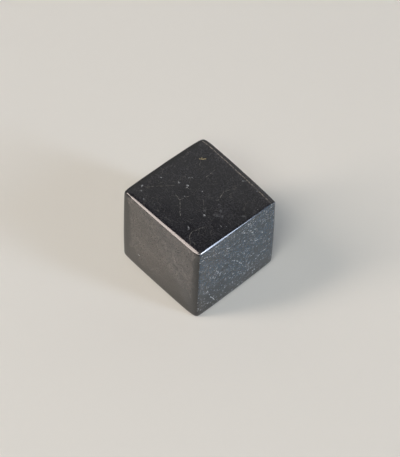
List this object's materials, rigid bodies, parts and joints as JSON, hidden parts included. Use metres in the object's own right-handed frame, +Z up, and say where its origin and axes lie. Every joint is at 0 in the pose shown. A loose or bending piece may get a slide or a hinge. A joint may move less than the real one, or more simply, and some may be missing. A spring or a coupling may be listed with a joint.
{
  "type": "shungite cube",
  "caption": "Polished black stone cube with softly rounded edges, fine pale veins and specks, standing on its flat base.",
  "frame": {"origin": "centre of the outline, on the flat base the cube stands on", "axes": "+Z up; +X along the longest side, to the right seen from the front; the front face is on -Y"},
  "size_m": [0.041, 0.0406, 0.0394],
  "materials": {
    "polished_shungite": "hand-polished gloss"
  },
  "bodies": {
    "root": {"shungite_cube": "polished_shungite"}
  },
  "joints": []
}
